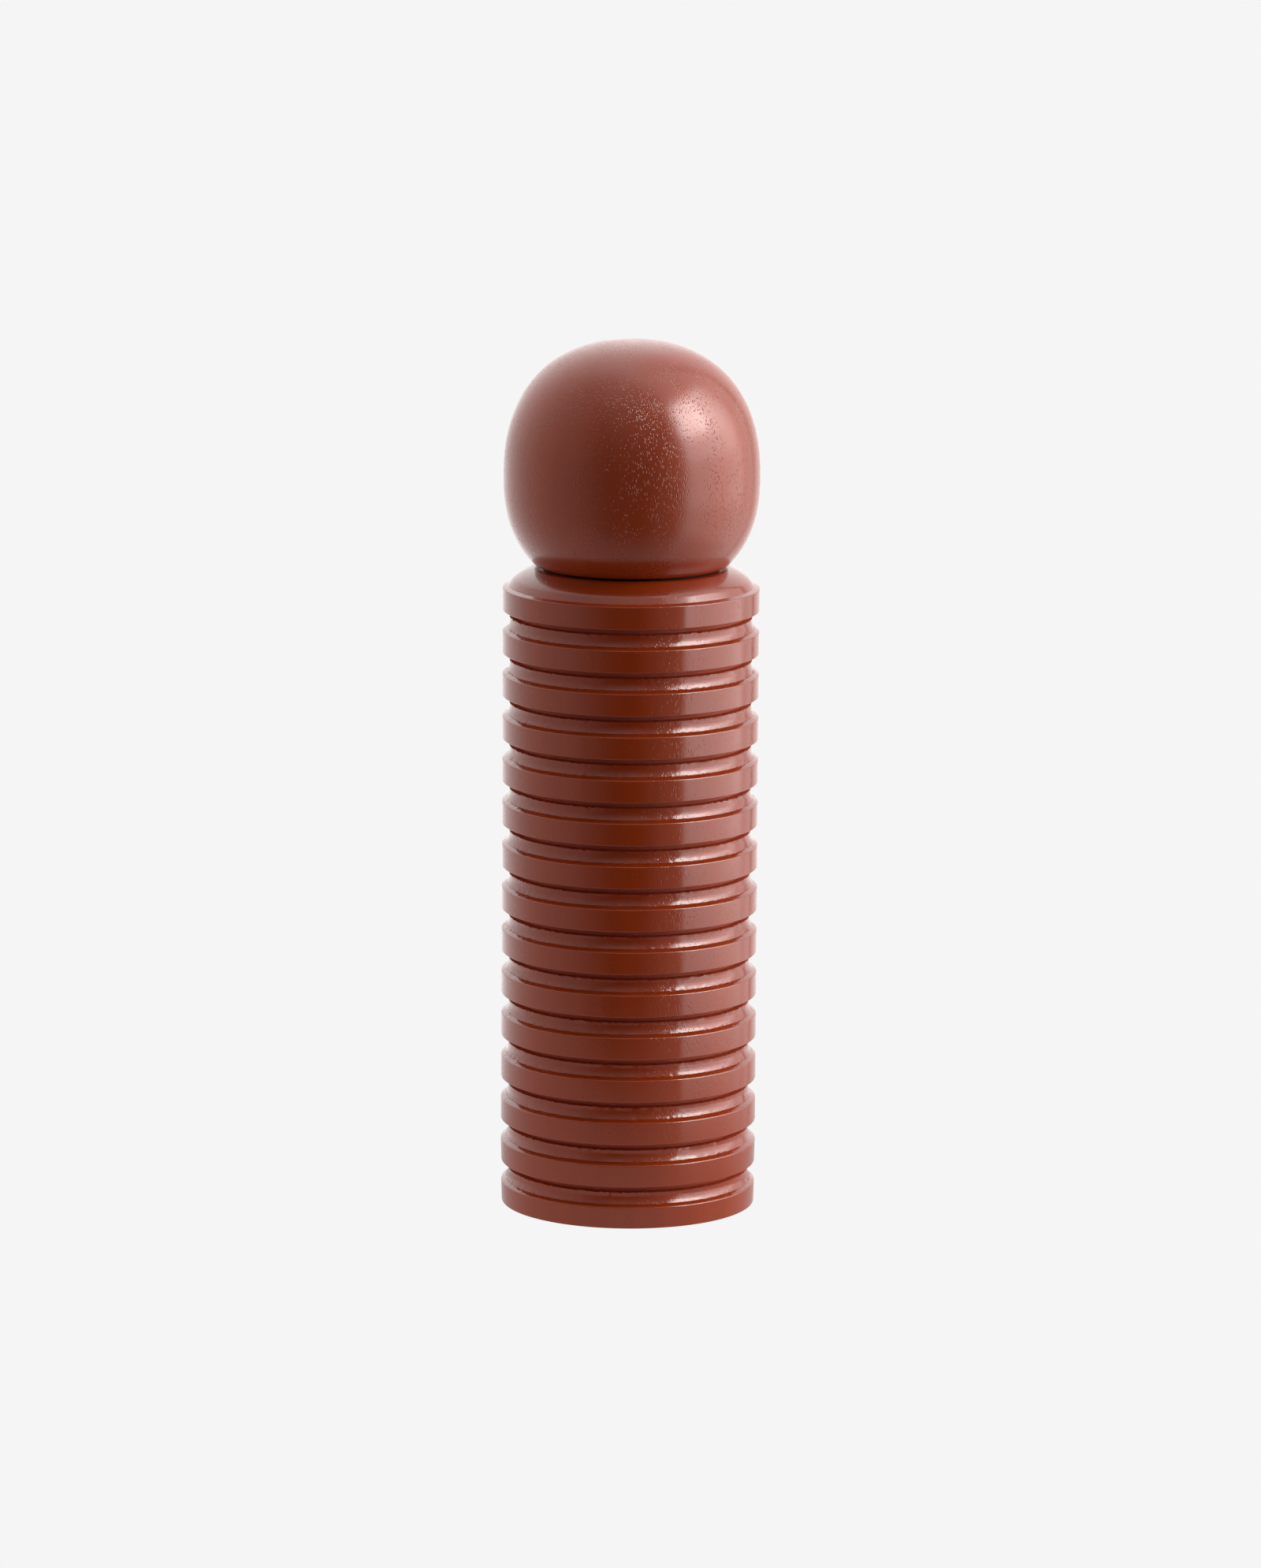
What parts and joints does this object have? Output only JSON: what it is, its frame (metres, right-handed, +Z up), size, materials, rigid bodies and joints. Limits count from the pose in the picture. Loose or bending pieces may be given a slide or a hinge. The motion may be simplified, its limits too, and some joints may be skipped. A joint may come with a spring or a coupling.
{
  "type": "pepper mill",
  "caption": "Turned wooden pepper mill with a ribbed body, a ball head that turns and lifts off, and a ceramic grinder adjusted from below.",
  "frame": {"origin": "centre of the circular foot, on the surface that the mill stands on", "axes": "+Z up along the mill's turning axis, from the foot to the top of the ball head; X and Y are free, because the outside is round"},
  "size_m": [0.06, 0.06, 0.2043],
  "materials": {
    "lacquered_wood": "satin red-brown lacquer over turned hardwood, pores showing",
    "pale_plastic": "natural acetal, moulded",
    "dark_plastic": "fine-grained moulded plastic",
    "ceramic": "unglazed technical ceramic",
    "aluminium": "extruded, lightly brushed along its length",
    "steel": "stainless, plain",
    "brass": "machined"
  },
  "bodies": {
    "mill_body": {"body_shell": "lacquered_wood", "glide_ring": "dark_plastic", "shaft_bridge": "dark_plastic", "burr_housing": "dark_plastic", "outer_burr": "ceramic", "burr_retainer": "dark_plastic", "housing_screws": "steel"},
    "drive": {"drive_shaft": "aluminium", "shaft_sleeve": "pale_plastic", "thrust_washer": "steel", "spring_washer": "steel", "shaft_clip": "steel"},
    "burr": {"burr_carrier": "dark_plastic", "inner_burr": "ceramic", "burr_lock_ring": "dark_plastic", "burr_spring": "steel"},
    "adjuster": {"adjust_knob": "dark_plastic", "knob_insert": "brass", "detent_washer": "steel"},
    "head": {"head_ball": "lacquered_wood", "drive_socket": "dark_plastic", "socket_cap": "dark_plastic", "grip_clip": "steel", "socket_screws": "steel"}
  },
  "joints": [
    {"name": "head_turn", "type": "hinge", "parent": "mill_body", "child": "drive", "pos_m": [0, 0, 0.042], "axis": [0, 0, 1], "continuous": true},
    {"name": "head_lift", "type": "slide", "parent": "drive", "child": "head", "axis": [0, 0, 1], "range_m": [0, 0.045]},
    {"name": "burr_feed", "type": "slide", "parent": "drive", "child": "burr", "axis": [0, 0, 1], "range_m": [-0.001, 0.001], "deforming": ["burr_spring"]},
    {"name": "adjuster_turn", "type": "hinge", "parent": "burr", "child": "adjuster", "pos_m": [0, 0, 0.006], "axis": [0, 0, 1], "range_deg": [-360, 360]}
  ],
  "couplings": [
    {"joint": "burr_feed", "follows": "adjuster_turn", "m_per_rad": 0.00015915}
  ]
}
